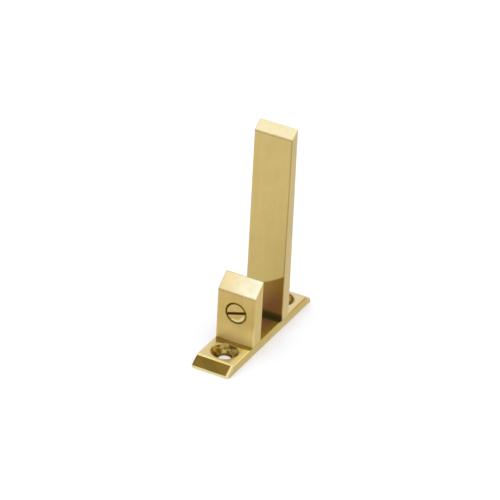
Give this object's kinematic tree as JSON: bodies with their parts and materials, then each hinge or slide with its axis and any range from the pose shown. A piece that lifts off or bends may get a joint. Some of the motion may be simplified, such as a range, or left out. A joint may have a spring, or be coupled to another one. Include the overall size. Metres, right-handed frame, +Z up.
{
  "type": "floor door holder",
  "caption": "Polished brass floor door holder: bevel-ended floor bar, tall stop post, and a short ramped lug whose slotted adjusting screw takes up play in the door gap.",
  "frame": {"origin": "middle of the floor bar's underside", "axes": "+Z up from the floor, X across the bar, +Y along the bar from the lug end towards the post end"},
  "size_m": [0.0132, 0.055, 0.0703],
  "materials": {
    "polished_brass": "polished, edges softened by buffing",
    "turned_brass": "turned and polished",
    "ball_steel": "ground and polished"
  },
  "bodies": {
    "frame": {"base_plate": "polished_brass", "catch_lug": "polished_brass", "stop_post": "polished_brass", "lug_screw_left": "turned_brass", "lug_screw_right": "turned_brass", "post_screw_left": "turned_brass", "post_screw_right": "turned_brass"},
    "ball": {"pressure_ball": "ball_steel"},
    "adjuster": {"adjusting_screw": "turned_brass"}
  },
  "joints": [
    {"name": "screw_feed", "type": "slide", "parent": "frame", "child": "ball", "axis": [0, 1, 0], "range_m": [-0.0005, 0.002]},
    {"name": "screw_turn", "type": "hinge", "parent": "ball", "child": "adjuster", "pos_m": [0, -0.01175, 0.0134], "axis": [0, 1, 0], "range_deg": [-180, 720]}
  ],
  "couplings": [
    {"joint": "screw_turn", "follows": "screw_feed", "rad_per_m": 6283.2}
  ]
}
